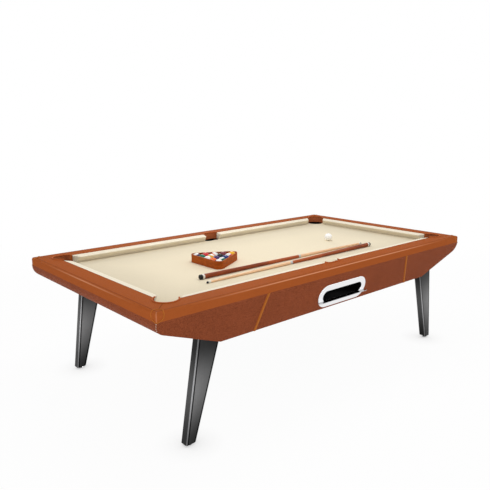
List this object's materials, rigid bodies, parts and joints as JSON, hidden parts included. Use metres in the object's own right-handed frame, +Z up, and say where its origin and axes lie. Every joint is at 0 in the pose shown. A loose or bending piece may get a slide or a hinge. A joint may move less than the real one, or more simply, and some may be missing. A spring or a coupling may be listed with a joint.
{
  "type": "pool table",
  "caption": "Leather-clad pool table with a slate bed, pockets, ball return in the long side, splayed metal legs with levelling feet, rack, balls and cues.",
  "frame": {"origin": "on the floor, under the middle of the table", "axes": "+X along the table's length, +Y away from the side with the ball return, +Z up"},
  "size_m": [2.643, 1.4798, 0.7893],
  "materials": {
    "rail_leather": "smooth tan leather over a timber rail",
    "body_leather": "grained dark brown leather over a timber panel",
    "pocket_leather": "dark brown moulded leather",
    "piping_leather": "golden brown leather piping",
    "cushion_rubber": "rubber cushion covered in cream cloth",
    "bed_cloth": "cream worsted cloth",
    "slate": "sawn slate",
    "frame_wood": "plain softwood",
    "gully_plastic": "black channel",
    "chrome": "bright chrome plate",
    "bright_steel": "zinc plated steel",
    "leg_metal": "satin gunmetal lacquer",
    "rack_wood": "varnished mahogany",
    "ball_resin": "polished cast resin in several colours",
    "cue_ball_resin": "polished white cast resin",
    "butt_wood": "varnished hardwood",
    "shaft_wood": "pale maple"
  },
  "bodies": {
    "table": {"apron_back": "body_leather", "apron_front": "body_leather", "beam_back": "frame_wood", "beam_front": "frame_wood", "bed_cloth": "bed_cloth", "bed_slate": "slate", "bottom_board": "frame_wood", "corner_cap_back_left": "rail_leather", "corner_cap_back_right": "rail_leather", "corner_cap_front_left": "rail_leather", "corner_cap_front_right": "rail_leather", "cross_beams": "frame_wood", "cushion_back_left": "cushion_rubber", "cushion_back_right": "cushion_rubber", "cushion_front_left": "cushion_rubber", "cushion_front_right": "cushion_rubber", "cushion_left_end": "cushion_rubber", "cushion_right_end": "cushion_rubber", "end_panel_left": "body_leather", "end_panel_right": "body_leather", "gully_back_left": "gully_plastic", "gully_back_right": "gully_plastic", "gully_cross": "gully_plastic", "gully_front_left": "gully_plastic", "gully_front_right": "gully_plastic", "leg_back_left": "leg_metal", "leg_back_right": "leg_metal", "leg_bolts": "bright_steel", "leg_front_left": "leg_metal", "leg_front_right": "leg_metal", "leg_plates": "bright_steel", "piping_back": "piping_leather", "piping_front": "piping_leather", "pocket_back_left": "pocket_leather", "pocket_back_right": "pocket_leather", "pocket_back_side": "pocket_leather", "pocket_front_left": "pocket_leather", "pocket_front_right": "pocket_leather", "pocket_front_side": "pocket_leather", "rail_back_left": "rail_leather", "rail_back_right": "rail_leather", "rail_cleats": "bright_steel", "rail_front_left": "rail_leather", "rail_front_right": "rail_leather", "rail_left_end": "rail_leather", "rail_right_end": "rail_leather", "return_bezel": "chrome", "return_box": "gully_plastic", "return_shelf": "chrome"},
    "foot_front_left": {"foot_front_left": "chrome"},
    "foot_front_right": {"foot_front_right": "chrome"},
    "foot_back_left": {"foot_back_left": "chrome"},
    "foot_back_right": {"foot_back_right": "chrome"},
    "rack": {"rack": "rack_wood"},
    "object_balls": {"object_balls": "ball_resin"},
    "cue_ball": {"cue_ball": "cue_ball_resin"},
    "cue_one": {"cue_one_butt": "butt_wood", "cue_one_shaft": "shaft_wood"},
    "cue_two": {"cue_two_butt": "butt_wood", "cue_two_shaft": "shaft_wood"}
  },
  "joints": [
    {"name": "foot_front_left_screw", "type": "slide", "parent": "table", "child": "foot_front_left", "axis": [0, 0, -1], "range_m": [0, 0.02]},
    {"name": "foot_front_right_screw", "type": "slide", "parent": "table", "child": "foot_front_right", "axis": [0, 0, -1], "range_m": [0, 0.02]},
    {"name": "foot_back_left_screw", "type": "slide", "parent": "table", "child": "foot_back_left", "axis": [0, 0, -1], "range_m": [0, 0.02]},
    {"name": "foot_back_right_screw", "type": "slide", "parent": "table", "child": "foot_back_right", "axis": [0, 0, -1], "range_m": [0, 0.02]},
    {"name": "rack_lift", "type": "slide", "parent": "table", "child": "rack", "axis": [0, 0, 1], "range_m": [0, 0.12]},
    {"name": "object_balls_lift", "type": "slide", "parent": "table", "child": "object_balls", "axis": [0, 0, 1], "range_m": [0, 0.12]},
    {"name": "cue_ball_lift", "type": "slide", "parent": "table", "child": "cue_ball", "axis": [0, 0, 1], "range_m": [0, 0.12]},
    {"name": "cue_one_lift", "type": "slide", "parent": "table", "child": "cue_one", "axis": [0, 0, 1], "range_m": [0, 0.15]},
    {"name": "cue_two_lift", "type": "slide", "parent": "table", "child": "cue_two", "axis": [0, 0, 1], "range_m": [0, 0.15]}
  ]
}
